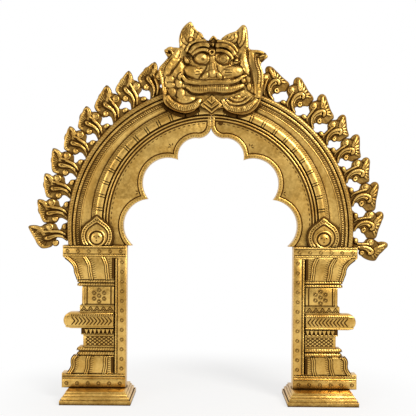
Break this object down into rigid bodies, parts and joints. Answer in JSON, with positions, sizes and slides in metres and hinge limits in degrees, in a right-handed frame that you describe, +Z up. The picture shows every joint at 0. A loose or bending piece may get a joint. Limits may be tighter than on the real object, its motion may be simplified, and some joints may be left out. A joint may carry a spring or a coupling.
{
  "type": "ritual arch",
  "caption": "Free-standing cast brass ritual arch (prabhavali) on pillars and plinths, with a cusped doorway, a flame-leaf border and a lion mask at its crown.",
  "frame": {"origin": "centre of the bounding box on the floor, between the two plinths", "axes": "+X to the viewer's right across the doorway, +Z up, the decorated front faces -Y"},
  "size_m": [0.2891, 0.046, 0.3012],
  "materials": {
    "antique_brass": "cast antique brass, dark patina in the recesses and polished on the high places",
    "sheet_brass": "plain rolled sheet, satin",
    "steel": "plain machine screws, studs and nuts"
  },
  "bodies": {
    "root": {"left_plinth": "antique_brass", "right_plinth": "antique_brass", "plinth_screws": "steel", "left_frame": "antique_brass", "right_frame": "antique_brass", "left_column": "antique_brass", "right_column": "antique_brass", "column_screws": "steel", "left_arch": "antique_brass", "right_arch": "antique_brass", "left_medallion": "antique_brass", "right_medallion": "antique_brass", "left_strap": "sheet_brass", "right_strap": "sheet_brass", "strap_screws": "steel", "crown_splice": "sheet_brass", "splice_screws": "steel", "left_flame_1": "antique_brass", "left_flame_2": "antique_brass", "left_flame_3": "antique_brass", "left_flame_4": "antique_brass", "left_flame_5": "antique_brass", "left_flame_6": "antique_brass", "left_flame_7": "antique_brass", "left_flame_8": "antique_brass", "left_flame_9": "antique_brass", "right_flame_1": "antique_brass", "right_flame_2": "antique_brass", "right_flame_3": "antique_brass", "right_flame_4": "antique_brass", "right_flame_5": "antique_brass", "right_flame_6": "antique_brass", "right_flame_7": "antique_brass", "right_flame_8": "antique_brass", "right_flame_9": "antique_brass", "kirtimukha": "antique_brass", "left_makara": "antique_brass", "right_makara": "antique_brass", "pendant": "antique_brass", "mask_studs": "steel", "mask_nuts": "steel"}
  },
  "joints": []
}
